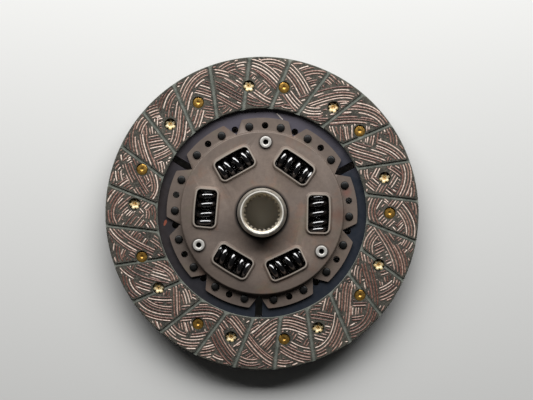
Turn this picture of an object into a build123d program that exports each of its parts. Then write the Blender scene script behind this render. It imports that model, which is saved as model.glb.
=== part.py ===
# Clutch disc, 225 mm, for a dry single-plate clutch.
#
# Two friction facings are riveted to three waved cushion plates. The cushion plates are riveted
# to the rim of a dished clutch plate, and three stop pins tie that to a retaining plate behind
# it. Between the two plates sits the flange of the splined hub, which turns against six coil
# springs in line with windows cut through all three.
#
# Millimetres. +Z runs along the input shaft, towards the gearbox. z = 0 is the middle of the
# cushion plates, and angles are in degrees from +X, anticlockwise seen from the gearbox.

import os
from math import cos, radians, sin, sqrt

from build123d import *

# Friction facings
facing_r = 112.5
facing_gap = 6.6  # from the ends of the tabs out to the bore
facing_thick = 3.5
facing_chamfer = 0.5
groove_count = 24
groove_width = 2.2
groove_depth = 1.0
groove_angle = 6.8  # where the first groove crosses the middle of the facing
groove_lean = 13.7  # from radial
groove_flare = 5.2  # width of a groove where it runs out of the facing
groove_flare_length = 2.6

# Rivets that hold the facings
facing_rivet_count = 9
facing_rivet_inset = 16.6  # from the bore of a facing
front_rivet_angle = 0.0
rear_rivet_angle = 16.0
facing_rivet_shank_r = 1.9
facing_rivet_head_r = 4.0
facing_rivet_head_thick = 0.8
facing_rivet_head_chamfer = 0.3
facing_rivet_tail_r = 3.6
facing_rivet_tail_height = 0.9
facing_rivet_bore_r = 1.1
facing_recess_r = 4.3
facing_recess_depth = 1.9

# Cushion plates
cushion_thick = 0.7
cushion_wave = 0.7  # how far the two kinds of pad stand apart
cushion_bore_step = 1.4  # from the outside of the dish
cushion_r = 110.5
cushion_gap = 5.0  # width of every slot between pads and between plates
cushion_plate_count = 3
pads_per_plate = 3
pad_angle = 8.0  # middle of the first pad
pad_setback = 1.3  # from the bore of a facing out to the start of the pads
pad_joggle = 1.5  # how far a pad overlaps the flat inner band
pad_ramp = 9.6

# Clutch plate, dished towards the gearbox
plate_thick = 1.8
flange_clearance = 2.3  # round the hub flange, inside the dish
tab_length = 10.1  # from the outside of the dish
dish_draft = 0.5
dish_edge_fillet = 1.1
dish_foot_fillet = 0.5
tab_corner_r = 1.5
tab_notch_half_angle = 37.0
relief_hole_r = 2.4
relief_step = 4.6  # from the outside of the dish

# Black rivets that hold the cushion plates to the clutch plate
cushion_rivet_gap = 0.25  # between a head and the foot of the dish
cushion_rivet_spread = 10.4  # each side of the middle of a tab
cushion_rivet_shank_r = 2.0
cushion_rivet_head_r = 2.95
cushion_rivet_head_height = 1.3
cushion_rivet_crown = 0.45

# Torsion damper
damper_z = -0.9  # middle plane of the springs
plate_gap = 10.8  # between the inner faces of the two plates
window_count = 3  # pairs of windows
window_spread = 32.0  # each side of a stop pin
spring_circle_r = 40.2
spring_length = 26.0
spring_r = 8.5
spring_wire_r = 2.1
spring_pitch = 6.0
window_end_clearance = 0.3
window_side_clearance = 0.65  # beside the coils, at the inner face of a plate
window_outer_bulge = 0.8
window_corner_r = 1.5
lip_corner_r = 3.0
lip_width = 2.3
lip_height = 1.5
lip_taper = 44.0
retaining_plate_step = 0.2  # smaller than the dish

# Stop pins
pin_count = 3
pin_angle = 87.0
pin_offset = 2.1  # from the outside of the springs' ring
pin_r = 4.5
pin_end_r = 3.0
pin_head_r = 4.2
pin_head_height = 1.6
pin_head_chamfer = 0.4
pin_dimple_r = 1.7
pin_dimple_depth = 1.3

# Hub
hub_r = 17.5
hub_front_z = 20.0
hub_rear_z = -11.5
hub_front_chamfer = 1.3
hub_rear_chamfer = 0.9
hub_shoulder = 0.8  # flat ring inside the front chamfer
hub_land_height = 0.35  # of the rim round the bore, above that ring
hub_flange_margin = 3.6  # past the circle of the stop pins
hub_flange_thick = 6.0
hub_window_clearance = 0.3
hub_window_corner_r = 0.8
hub_twist = 6.5  # degrees each way, until the stop pins are met
stop_clearance = 0.2
stop_notch_corner_r = 2.0
spline_count = 24
spline_tip_r = 11.8
spline_root_r = 12.85
spline_space_at_tip = 1.9
spline_space_at_root = 1.25
spline_overcut = 1.0  # how far the cut of a space reaches into the bore
spline_lead_in_step = 0.95  # from the root of the teeth out to the mouth
spline_lead_in_angle = 60.0  # from the end faces

# Friction parts between the hub flange and the plates
bush_collar_thick = 1.0
washer_clearance = 1.3  # inside the springs' ring
rear_washer_thick = 0.9
thrust_plate_thick = 0.7
cone_spring_thick = 0.5
cone_spring_step = 2.9  # smaller than the washers
collar_recess = 0.5  # from the clutch plate's face down to the end of the bush

# Fits
running_clearance = 0.05
rivet_clearance = 0.05
bore_clearance = 0.4
corner_reach = 0.01  # how near to a given radius a corner is looked for

# Radii that follow, from the hub outwards
hub_land_r = hub_r - hub_front_chamfer - hub_shoulder
spline_lead_in_r = spline_root_r + spline_lead_in_step
plate_bore_r = hub_r + running_clearance + bush_collar_thick + rivet_clearance
washer_r = spring_circle_r - spring_r - washer_clearance
cone_spring_r = washer_r - cone_spring_step
pin_circle_r = spring_circle_r + spring_r + pin_offset
hub_flange_r = pin_circle_r + hub_flange_margin
dish_r = hub_flange_r + flange_clearance + plate_thick
dish_foot_r = dish_r + dish_draft
retaining_plate_r = dish_r - retaining_plate_step
cushion_bore_r = dish_r + cushion_bore_step
relief_circle_r = dish_r + relief_step
cushion_rivet_circle_r = dish_foot_r + dish_foot_fillet + cushion_rivet_gap + cushion_rivet_head_r
tab_r = dish_r + tab_length
facing_bore_r = tab_r + facing_gap
pad_start_r = facing_bore_r + pad_setback
facing_rivet_circle_r = facing_bore_r + facing_rivet_inset

# Half widths of the windows, where the coils come through the plates
window_half = sqrt(spring_r**2 - (plate_gap / 2) ** 2) + window_side_clearance
window_half_length = spring_length / 2 + window_end_clearance

# Heights that follow
cushion_top_z = cushion_thick / 2
facing_seat_z = (cushion_thick + cushion_wave) / 2
front_plate_inner_z = damper_z + plate_gap / 2
front_plate_outer_z = front_plate_inner_z + plate_thick
rear_plate_inner_z = damper_z - plate_gap / 2
rear_plate_outer_z = rear_plate_inner_z - plate_thick
rim_top_z = cushion_top_z + plate_thick
flange_top_z = damper_z + hub_flange_thick / 2
flange_bottom_z = damper_z - hub_flange_thick / 2

# Angles that follow
pad_count = cushion_plate_count * pads_per_plate
pad_pitch = 360 / pad_count
notch_angle = pad_angle + pad_pitch / 2
plate_pitch = 360 / cushion_plate_count
spring_angles = [
    pin_angle + pair * 360 / window_count + side * window_spread
    for pair in range(window_count)
    for side in (-1, 1)
]
cushion_rivet_angles = [
    pad_angle + tab * pad_pitch + side * cushion_rivet_spread
    for tab in range(pad_count)
    for side in (-1, 1)
]


def polar(radius, angle):
    return (radius * cos(radians(angle)), radius * sin(radians(angle)))


def wedge(half_angle, inset):
    """Triangle that opens along +X, with its two long sides drawn in by the inset."""
    reach = 3 * facing_r
    apex = inset / sin(radians(half_angle))
    far_x, far_y = polar(reach, half_angle)
    Polygon((apex, 0), (apex + far_x, -far_y), (apex + far_x, far_y), align=None)


# ---- Friction facing, seated on z = 0 with its working face up ----
facing_mid_r = (facing_r + facing_bore_r) / 2
groove_half_length = (facing_r - facing_bore_r) / 2 / cos(radians(groove_lean))
flare_reach = groove_half_length + groove_flare_length

with BuildPart() as facing:
    with BuildSketch(Plane.XZ):
        with BuildLine():
            Polyline(
                (facing_bore_r, 0),
                (facing_r, 0),
                (facing_r, facing_thick - facing_chamfer),
                (facing_r - facing_chamfer, facing_thick),
                (facing_bore_r + facing_chamfer, facing_thick),
                (facing_bore_r, facing_thick - facing_chamfer),
                close=True,
            )
        make_face()
    revolve(axis=Axis.Z)
    with BuildSketch(Plane.XY.offset(facing_thick)):
        with PolarLocations(facing_mid_r, groove_count, start_angle=groove_angle):
            with Locations(Location((0, 0, 0), (0, 0, -groove_lean))):
                Rectangle(2 * flare_reach, groove_width)
                for end in (-1, 1):
                    Polygon(
                        (end * (groove_half_length - groove_flare_length), 0),
                        (end * flare_reach, -groove_flare),
                        (end * flare_reach, groove_flare),
                        align=None,
                    )
    extrude(amount=-groove_depth, mode=Mode.SUBTRACT)
    with Locations(Plane.XY.offset(facing_thick)):
        with PolarLocations(facing_rivet_circle_r, facing_rivet_count, start_angle=front_rivet_angle):
            CounterBoreHole(facing_rivet_shank_r + rivet_clearance, facing_recess_r, facing_recess_depth)
        with PolarLocations(facing_rivet_circle_r, facing_rivet_count, start_angle=rear_rivet_angle):
            Hole(facing_recess_r)


def to_front(shape):
    """From a facing's own frame to the gearbox side of the disc."""
    return shape.moved(Location((0, 0, facing_seat_z)))


def to_rear(shape):
    """The same piece turned over, with its own rivets between those of the front."""
    turn = front_rivet_angle + rear_rivet_angle
    return to_front(shape).rotate(Axis.X, 180).rotate(Axis.Z, turn)


with BuildPart() as front_facing:
    add(to_front(facing.part))
with BuildPart() as rear_facing:
    add(to_rear(facing.part))

# ---- Rivets of one facing, in the facing's frame: head in the recess, tail clinched on the pad ----
head_seat_z = facing_thick - facing_recess_depth
tail_seat_z = -cushion_thick

with BuildPart() as facing_rivets:
    with BuildSketch(Plane.XZ):
        with BuildLine():
            Polyline(
                (0, head_seat_z + facing_rivet_head_thick / 2),
                (facing_rivet_bore_r, head_seat_z + facing_rivet_head_thick),
                (facing_rivet_head_r - facing_rivet_head_chamfer, head_seat_z + facing_rivet_head_thick),
                (facing_rivet_head_r, head_seat_z + facing_rivet_head_thick - facing_rivet_head_chamfer),
                (facing_rivet_head_r, head_seat_z),
                (facing_rivet_shank_r, head_seat_z),
                (facing_rivet_shank_r, tail_seat_z),
                (facing_rivet_tail_r, tail_seat_z),
                (facing_rivet_tail_r, tail_seat_z - facing_rivet_tail_height / 2),
                (facing_rivet_shank_r, tail_seat_z - facing_rivet_tail_height),
                (facing_rivet_bore_r, tail_seat_z - facing_rivet_tail_height / 2),
                (facing_rivet_bore_r, tail_seat_z),
                (0, tail_seat_z),
                close=True,
            )
        make_face()
    revolve(axis=Axis.Z)
facing_rivet = facing_rivets.part

with BuildPart() as front_facing_rivets:
    with PolarLocations(facing_rivet_circle_r, facing_rivet_count, start_angle=front_rivet_angle):
        add(to_front(facing_rivet))
with BuildPart() as rear_facing_rivets:
    with PolarLocations(facing_rivet_circle_r, facing_rivet_count, start_angle=rear_rivet_angle):
        add(to_front(facing_rivet).rotate(Axis.X, 180))

# ---- Cushion plate: a flat band inside, and pads that lean on the two facings in turn ----
half_wave = cushion_wave / 2
pad_edge = facing_r / 2  # well past the sides of a pad
middle_of_plate = notch_angle - plate_pitch / 2

with BuildPart() as cushion_plate:
    with BuildSketch(Plane.XY.offset(-cushion_thick / 2)):
        Circle(pad_start_r + pad_joggle)
        Circle(cushion_bore_r, mode=Mode.SUBTRACT)
        with BuildSketch(mode=Mode.INTERSECT):
            wedge(plate_pitch / 2, cushion_gap / 2)
    extrude(amount=cushion_thick)

with BuildPart() as cushion_pad:
    with BuildSketch(Plane.YZ.offset(pad_start_r / 2)):
        with BuildLine():
            Polyline(
                (-pad_edge, half_wave + cushion_thick / 2),
                (-pad_ramp / 2, half_wave + cushion_thick / 2),
                (pad_ramp / 2, -half_wave + cushion_thick / 2),
                (pad_edge, -half_wave + cushion_thick / 2),
                (pad_edge, -half_wave - cushion_thick / 2),
                (pad_ramp / 2, -half_wave - cushion_thick / 2),
                (-pad_ramp / 2, half_wave - cushion_thick / 2),
                (-pad_edge, half_wave - cushion_thick / 2),
                close=True,
            )
        make_face()
    extrude(amount=cushion_r)
    with BuildSketch(Plane.XY.offset(-facing_thick)):
        Circle(cushion_r)
        Circle(pad_start_r, mode=Mode.SUBTRACT)
        with BuildSketch(mode=Mode.INTERSECT):
            wedge(pad_pitch / 2, cushion_gap / 2)
    extrude(amount=2 * facing_thick, mode=Mode.INTERSECT)

cushion_plates = []
for index in range(cushion_plate_count):
    plate_angle = middle_of_plate + index * plate_pitch
    with BuildPart() as segment:
        add(cushion_plate.part.rotate(Axis.Z, plate_angle))
        for pad in range(pads_per_plate):
            add(cushion_pad.part.rotate(Axis.Z, plate_angle + (pad - (pads_per_plate - 1) / 2) * pad_pitch))
        with PolarLocations(facing_rivet_circle_r, facing_rivet_count, start_angle=front_rivet_angle):
            Hole(facing_rivet_shank_r + rivet_clearance)
        with PolarLocations(facing_rivet_circle_r, facing_rivet_count, start_angle=rear_rivet_angle):
            Hole(facing_rivet_shank_r + rivet_clearance)
        with PolarLocations(relief_circle_r, 2 * pad_count, start_angle=pad_angle):
            Hole(relief_hole_r)
        with Locations([polar(cushion_rivet_circle_r, angle) for angle in cushion_rivet_angles]):
            Hole(cushion_rivet_shank_r + rivet_clearance)
    cushion_plates.append(segment)

# ---- Spring windows and the raised lips round them, shared by the two plates ----
def window_outline(corner_r, margin=0):
    """Window seen along the axis: straight inside and at its ends, bowed outside."""
    x = window_half_length + margin
    y = window_half + margin
    with BuildSketch() as outline:
        with BuildLine():
            Line((-x, -y), (x, -y))
            Line((x, -y), (x, y))
            ThreePointArc((x, y), (0, y + window_outer_bulge), (-x, y))
            Line((-x, y), (-x, -y))
        make_face()
        fillet(outline.vertices(), corner_r + margin)
    return outline.sketch


def window_places(plane):
    """The six window centres, with local Y pointing away from the axis."""
    return [
        plane * Location((*polar(spring_circle_r, angle), 0), (0, 0, angle - 90))
        for angle in spring_angles
    ]


with BuildPart() as clutch_plate:
    with BuildSketch(Plane.XZ) as dish:
        with BuildLine():
            Polyline(
                (plate_bore_r, front_plate_inner_z),
                (dish_r - plate_thick, front_plate_inner_z),
                (dish_foot_r - plate_thick, cushion_top_z),
                (tab_r, cushion_top_z),
                (tab_r, rim_top_z),
                (dish_foot_r, rim_top_z),
                (dish_r, front_plate_outer_z),
                (plate_bore_r, front_plate_outer_z),
                close=True,
            )
        make_face()
        edge = dish.vertices().filter_by_position(Axis.X, dish_r - corner_reach, dish_r + corner_reach)
        fillet(edge, dish_edge_fillet)
        foot = dish.vertices().filter_by_position(
            Axis.X, dish_foot_r - corner_reach, dish_foot_r + corner_reach
        )
        fillet(foot, dish_foot_fillet)
    revolve(axis=Axis.Z)
    # nine tabs, parted by V notches that run down to the relief holes
    with BuildSketch() as rim:
        Circle(tab_r)
        with PolarLocations(relief_circle_r, pad_count, start_angle=notch_angle):
            Circle(relief_hole_r + running_clearance, mode=Mode.SUBTRACT)
            with Locations((-relief_hole_r / sin(radians(tab_notch_half_angle)), 0)):
                Polygon(
                    (0, 0),
                    polar(tab_r, -tab_notch_half_angle),
                    polar(tab_r, tab_notch_half_angle),
                    align=None,
                    mode=Mode.SUBTRACT,
                )
        corners = rim.vertices().filter_by(lambda corner: Vector(corner).length > tab_r - corner_reach)
        fillet(corners, tab_corner_r)
    extrude(amount=front_plate_outer_z, mode=Mode.INTERSECT)
    for place in window_places(Plane.XY.offset(front_plate_outer_z)):
        with BuildSketch(Plane(place)):
            add(window_outline(lip_corner_r, lip_width))
        extrude(amount=lip_height, taper=lip_taper)
        with BuildSketch(Plane(place)):
            add(window_outline(lip_corner_r))
        extrude(amount=lip_height, mode=Mode.SUBTRACT)
        with BuildSketch(Plane(place)):
            add(window_outline(window_corner_r))
        extrude(amount=-plate_thick, mode=Mode.SUBTRACT)
    with PolarLocations(relief_circle_r, pad_count, start_angle=pad_angle):
        Hole(relief_hole_r)
    with Locations([polar(cushion_rivet_circle_r, angle) for angle in cushion_rivet_angles]):
        Hole(cushion_rivet_shank_r + rivet_clearance)
    with PolarLocations(pin_circle_r, pin_count, start_angle=pin_angle):
        Hole(pin_end_r + rivet_clearance)

with BuildPart() as retaining_plate:
    with BuildSketch(Plane.XY.offset(rear_plate_outer_z)):
        Circle(retaining_plate_r)
        Circle(plate_bore_r, mode=Mode.SUBTRACT)
    extrude(amount=plate_thick)
    for place in window_places(Plane.XY.offset(rear_plate_outer_z)):
        with BuildSketch(Plane(place)):
            add(window_outline(lip_corner_r, lip_width))
        extrude(amount=-lip_height, taper=lip_taper)
        with BuildSketch(Plane(place)):
            add(window_outline(lip_corner_r))
        extrude(amount=-lip_height, mode=Mode.SUBTRACT)
        with BuildSketch(Plane(place)):
            add(window_outline(window_corner_r))
        extrude(amount=plate_thick, mode=Mode.SUBTRACT)
    with PolarLocations(pin_circle_r, pin_count, start_angle=pin_angle):
        Hole(pin_end_r + rivet_clearance)

# ---- Rivets through the clutch plate's rim and the cushion plates ----
with BuildPart() as cushion_rivet:
    with BuildSketch(Plane.XZ):
        with BuildLine():
            Polyline(
                (0, rim_top_z + cushion_rivet_head_height),
                (cushion_rivet_head_r - 2 * cushion_rivet_crown, rim_top_z + cushion_rivet_head_height),
                (cushion_rivet_head_r, rim_top_z + cushion_rivet_head_height - cushion_rivet_crown),
                (cushion_rivet_head_r, rim_top_z),
                (cushion_rivet_shank_r, rim_top_z),
                (cushion_rivet_shank_r, -cushion_top_z),
                (cushion_rivet_head_r, -cushion_top_z),
                (cushion_rivet_head_r, -cushion_top_z - cushion_rivet_head_height + cushion_rivet_crown),
                (cushion_rivet_head_r - 2 * cushion_rivet_crown, -cushion_top_z - cushion_rivet_head_height),
                (0, -cushion_top_z - cushion_rivet_head_height),
                close=True,
            )
        make_face()
    revolve(axis=Axis.Z)

with BuildPart() as cushion_rivets:
    with Locations([polar(cushion_rivet_circle_r, angle) for angle in cushion_rivet_angles]):
        add(cushion_rivet.part)

# ---- Stop pins: a shouldered pin, headed over both plates ----
stop_pins = []
for index in range(pin_count):
    with BuildPart() as stop_pin:
        with BuildSketch(Plane.XZ):
            with BuildLine():
                Polyline(
                    (0, front_plate_outer_z + pin_head_height - pin_dimple_depth),
                    (pin_dimple_r, front_plate_outer_z + pin_head_height - pin_dimple_depth),
                    (pin_dimple_r, front_plate_outer_z + pin_head_height),
                    (pin_head_r - pin_head_chamfer, front_plate_outer_z + pin_head_height),
                    (pin_head_r, front_plate_outer_z + pin_head_height - pin_head_chamfer),
                    (pin_head_r, front_plate_outer_z),
                    (pin_end_r, front_plate_outer_z),
                    (pin_end_r, front_plate_inner_z),
                    (pin_r, front_plate_inner_z),
                    (pin_r, rear_plate_inner_z),
                    (pin_end_r, rear_plate_inner_z),
                    (pin_end_r, rear_plate_outer_z),
                    (pin_head_r, rear_plate_outer_z),
                    (pin_head_r, rear_plate_outer_z - pin_head_height + pin_head_chamfer),
                    (pin_head_r - pin_head_chamfer, rear_plate_outer_z - pin_head_height),
                    (0, rear_plate_outer_z - pin_head_height),
                    close=True,
                )
            make_face()
        revolve(axis=Axis.Z)
    pin_at = polar(pin_circle_r, pin_angle + index * 360 / pin_count)
    stop_pin.part = stop_pin.part.moved(Location((*pin_at, 0)))
    stop_pins.append(stop_pin)

# ---- Hub: splined barrel and a flange with the same six windows ----
hub_window_half_width = spring_r + hub_window_clearance
stop_notch_half_width = pin_r + stop_clearance + pin_circle_r * sin(radians(hub_twist))
stop_notch_floor_r = pin_circle_r * cos(radians(hub_twist)) - pin_r - stop_clearance

with BuildPart() as hub:
    with BuildSketch(Plane.XZ):
        with BuildLine():
            Polyline(
                (0, hub_rear_z),
                (hub_r - hub_rear_chamfer, hub_rear_z),
                (hub_r, hub_rear_z + hub_rear_chamfer),
                (hub_r, flange_bottom_z),
                (hub_flange_r, flange_bottom_z),
                (hub_flange_r, flange_top_z),
                (hub_r, flange_top_z),
                (hub_r, hub_front_z - hub_land_height - hub_front_chamfer),
                (hub_r - hub_front_chamfer, hub_front_z - hub_land_height),
                (hub_land_r, hub_front_z - hub_land_height),
                (hub_land_r, hub_front_z),
                (0, hub_front_z),
                close=True,
            )
        make_face()
    revolve(axis=Axis.Z)
    with BuildSketch(Plane.XY.offset(flange_bottom_z)):
        for place in window_places(Plane.XY):
            with Locations(place):
                RectangleRounded(
                    2 * window_half_length, 2 * hub_window_half_width, hub_window_corner_r
                )
    extrude(amount=hub_flange_thick, mode=Mode.SUBTRACT)
    with BuildSketch(Plane.XY.offset(flange_bottom_z)) as stop_notches:
        with PolarLocations(stop_notch_floor_r, pin_count, start_angle=pin_angle):
            Rectangle(
                2 * (hub_flange_r - stop_notch_floor_r),
                2 * stop_notch_half_width,
                align=(Align.MIN, Align.CENTER),
            )
        floors = stop_notches.vertices().filter_by(lambda corner: Vector(corner).length < hub_flange_r)
        fillet(floors, stop_notch_corner_r)
    extrude(amount=hub_flange_thick, mode=Mode.SUBTRACT)
    with BuildSketch(Plane.XY.offset(hub_rear_z)):
        Circle(spline_tip_r)
        with PolarLocations(0, spline_count):
            Polygon(
                (spline_tip_r - spline_overcut, -spline_space_at_tip / 2),
                (spline_tip_r, -spline_space_at_tip / 2),
                (spline_root_r, -spline_space_at_root / 2),
                (spline_root_r, spline_space_at_root / 2),
                (spline_tip_r, spline_space_at_tip / 2),
                (spline_tip_r - spline_overcut, spline_space_at_tip / 2),
                align=None,
            )
    extrude(amount=hub_front_z - hub_rear_z, mode=Mode.SUBTRACT)
    lead_in_reach = spline_lead_in_r * sin(radians(spline_lead_in_angle)) / cos(radians(spline_lead_in_angle))
    for mouth_z, inwards in ((hub_front_z, -1), (hub_rear_z, 1)):
        with BuildSketch(Plane.XZ):
            with BuildLine():
                Polyline(
                    (0, mouth_z),
                    (spline_lead_in_r, mouth_z),
                    (0, mouth_z + inwards * lead_in_reach),
                    close=True,
                )
            make_face()
        revolve(axis=Axis.Z, mode=Mode.SUBTRACT)

# ---- Friction bush, washer, thrust plate and cone spring ----
bush_bore_r = hub_r + running_clearance
with BuildPart() as friction_bush:
    with BuildSketch(Plane.XZ):
        with BuildLine():
            Polyline(
                (bush_bore_r, flange_top_z),
                (washer_r, flange_top_z),
                (washer_r, front_plate_inner_z),
                (plate_bore_r - rivet_clearance, front_plate_inner_z),
                (plate_bore_r - rivet_clearance, front_plate_outer_z - collar_recess),
                (bush_bore_r, front_plate_outer_z - collar_recess),
                close=True,
            )
        make_face()
    revolve(axis=Axis.Z)

rear_washer_bottom_z = flange_bottom_z - rear_washer_thick
thrust_plate_bottom_z = rear_washer_bottom_z - thrust_plate_thick
with BuildPart() as rear_friction_washer:
    with BuildSketch(Plane.XY.offset(rear_washer_bottom_z)):
        Circle(washer_r)
        Circle(hub_r + bore_clearance, mode=Mode.SUBTRACT)
    extrude(amount=rear_washer_thick)

with BuildPart() as thrust_plate:
    with BuildSketch(Plane.XY.offset(thrust_plate_bottom_z)):
        Circle(washer_r)
        Circle(hub_r + bore_clearance, mode=Mode.SUBTRACT)
    extrude(amount=thrust_plate_thick)

# a shallow cone, high at its outer edge, that fills what is left of the gap
with BuildPart() as cone_spring:
    with BuildSketch(Plane.XZ):
        with BuildLine():
            Polyline(
                (plate_bore_r + bore_clearance, rear_plate_inner_z),
                (plate_bore_r + bore_clearance, rear_plate_inner_z + cone_spring_thick),
                (cone_spring_r, thrust_plate_bottom_z),
                (cone_spring_r, thrust_plate_bottom_z - cone_spring_thick),
                close=True,
            )
        make_face()
    revolve(axis=Axis.Z)

# ---- Damper springs, right-handed, with ground ends ----
spring_mean_r = spring_r - spring_wire_r
with BuildPart() as damper_spring:
    with BuildLine() as coil_line:
        Helix(
            spring_pitch,
            spring_length + 2 * spring_wire_r,
            spring_mean_r,
            center=(0, 0, -spring_length / 2 - spring_wire_r),
        )
    with BuildSketch(Plane(coil_line.line @ 0, z_dir=coil_line.line % 0)):
        Circle(spring_wire_r)
    sweep(is_frenet=True)
    with BuildSketch(Plane.XY.offset(-spring_length / 2)):
        Circle(2 * spring_r)
    extrude(amount=spring_length, mode=Mode.INTERSECT)

damper_springs = []
for angle in spring_angles:
    spring_place = Location((*polar(spring_circle_r, angle), damper_z), (0, 0, angle))
    with BuildPart() as placed_spring:
        add(damper_spring.part.rotate(Axis.X, -90).moved(spring_place))
    damper_springs.append(placed_spring)

# ---- One STEP file for each piece ----
pieces = {
    "front_facing": front_facing,
    "rear_facing": rear_facing,
    "front_facing_rivets": front_facing_rivets,
    "rear_facing_rivets": rear_facing_rivets,
    "clutch_plate": clutch_plate,
    "retaining_plate": retaining_plate,
    "cushion_rivets": cushion_rivets,
    "hub": hub,
    "friction_bush": friction_bush,
    "rear_friction_washer": rear_friction_washer,
    "thrust_plate": thrust_plate,
    "cone_spring": cone_spring,
}
for index, segment in enumerate(cushion_plates, 1):
    pieces[f"cushion_plate_{index}"] = segment
for index, stop_pin in enumerate(stop_pins, 1):
    pieces[f"stop_pin_{index}"] = stop_pin
for index, placed_spring in enumerate(damper_springs, 1):
    pieces[f"damper_spring_{index}"] = placed_spring

os.makedirs("parts", exist_ok=True)
for name, piece in pieces.items():
    piece.part.label = name
    export_step(piece.part, f"parts/{name}.step")
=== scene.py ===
import bmesh
import bpy
import numpy as np
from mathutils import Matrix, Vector


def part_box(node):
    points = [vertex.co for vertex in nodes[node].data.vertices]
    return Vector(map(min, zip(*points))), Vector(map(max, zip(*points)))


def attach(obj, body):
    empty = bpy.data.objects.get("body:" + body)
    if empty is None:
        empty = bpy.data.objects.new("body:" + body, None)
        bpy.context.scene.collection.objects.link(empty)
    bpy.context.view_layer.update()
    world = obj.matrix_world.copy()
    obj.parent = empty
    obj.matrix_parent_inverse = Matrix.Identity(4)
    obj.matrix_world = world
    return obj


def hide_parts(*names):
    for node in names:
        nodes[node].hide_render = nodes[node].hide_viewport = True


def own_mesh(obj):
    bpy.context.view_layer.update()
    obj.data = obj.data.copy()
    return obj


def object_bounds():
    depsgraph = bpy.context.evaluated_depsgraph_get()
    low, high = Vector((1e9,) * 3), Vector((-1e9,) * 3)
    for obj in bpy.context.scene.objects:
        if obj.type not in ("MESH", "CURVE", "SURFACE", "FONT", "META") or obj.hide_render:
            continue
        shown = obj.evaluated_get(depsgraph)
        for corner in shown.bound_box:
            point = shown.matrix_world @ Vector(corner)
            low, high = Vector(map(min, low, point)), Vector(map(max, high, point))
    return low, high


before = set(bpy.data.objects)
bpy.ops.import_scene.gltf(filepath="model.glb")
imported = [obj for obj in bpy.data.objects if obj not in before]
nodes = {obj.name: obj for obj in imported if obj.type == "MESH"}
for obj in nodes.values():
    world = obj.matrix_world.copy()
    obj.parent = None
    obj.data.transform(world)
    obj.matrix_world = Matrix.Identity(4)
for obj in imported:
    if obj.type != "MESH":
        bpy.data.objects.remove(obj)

# Clutch disc, gearbox side up. Metres, with +Z along the input shaft.
cadLow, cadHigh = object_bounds()
mm = 0.001
degree = np.pi / 180
sharpAngle = 35  # degrees between two faces, past which their edge stays sharp


def bottomOf(nodeName):
    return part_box(nodeName)[0].z


def topOf(nodeName):
    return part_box(nodeName)[1].z


def centreOf(nodeName):
    low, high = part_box(nodeName)
    return (low + high) / 2


def turned(points, angle):  # rotated about Z
    c, s = np.cos(angle), np.sin(angle)
    x, y, z = points[..., 0], points[..., 1], points[..., 2]
    return np.stack([c * x - s * y, s * x + c * y, z], axis=-1)


def turnedOver(points):  # half a turn about X
    return points * np.array([1.0, -1.0, -1.0])


def gridQuads(rows, columns, closeRows=False, closeColumns=False):
    # quads between the neighbouring points of a rows x columns grid, counted row by row
    i = np.arange(rows if closeRows else rows - 1)
    j = np.arange(columns if closeColumns else columns - 1)
    i, j = (a.ravel() for a in np.meshgrid(i, j, indexing="ij"))
    nextI, nextJ = (i + 1) % rows, (j + 1) % columns
    corners = ((i, j), (nextI, j), (nextI, nextJ), (i, nextJ))
    return np.stack([row * columns + column for row, column in corners], 1)


def joined(parts):
    # several (points, quads) pairs as one
    points, quads, start = [], [], 0
    for partPoints, partQuads in parts:
        flat = partPoints.reshape(-1, 3)
        points.append(flat)
        quads.append(partQuads + start)
        start += len(flat)
    return np.concatenate(points), np.concatenate(quads)


def lathe(profile, steps):
    # profile (r, z) carried round Z: x = r cos a, y = r sin a
    profile = np.asarray(profile, float)
    a = np.linspace(0, 2 * np.pi, steps, endpoint=False)[:, None]
    r, z = profile[None, :, 0], profile[None, :, 1]
    points = np.stack([r * np.cos(a), r * np.sin(a), z + 0 * a], axis=-1)
    return points, gridQuads(steps, len(profile), closeRows=True)


def piece(name, shape, finish, body, stands=(), sharpAbove=sharpAngle, tones=None):
    # shape is (points, quads), with the place of the piece in its points; stands holds the solids that it
    # stands for, and tones a value at each point for the finish to read
    points, quads = shape
    points = np.asarray(points, float).reshape(-1, 3)
    mesh = bpy.data.meshes.new(name)
    mesh.vertices.add(len(points))
    mesh.vertices.foreach_set("co", points.ravel())
    mesh.loops.add(quads.size)
    mesh.loops.foreach_set("vertex_index", quads.ravel())
    mesh.polygons.add(len(quads))
    mesh.polygons.foreach_set("loop_start", np.arange(len(quads)) * 4)
    if tones is not None:
        mesh.attributes.new("tone", "FLOAT", "POINT").data.foreach_set("value", tones)
    mesh.update(calc_edges=True)
    work = bmesh.new()
    work.from_mesh(mesh)
    bmesh.ops.remove_doubles(work, verts=work.verts, dist=1e-7)
    bmesh.ops.dissolve_degenerate(work, edges=work.edges, dist=1e-7)
    bmesh.ops.recalc_face_normals(work, faces=work.faces)
    work.to_mesh(mesh)
    work.free()
    mesh.shade_smooth()
    mesh.set_sharp_from_angle(angle=sharpAbove * degree)
    obj = bpy.data.objects.new(name, mesh)
    bpy.context.scene.collection.objects.link(obj)
    mesh.materials.append(finish)
    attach(obj, body)
    if stands:
        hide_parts(*stands)
    return obj


def onCircle(vertex, radius, height):  # round Z
    close = 0.02 * mm
    return abs(vertex.co.xy.length - radius) < close and abs(vertex.co.z - height) < close


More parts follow.
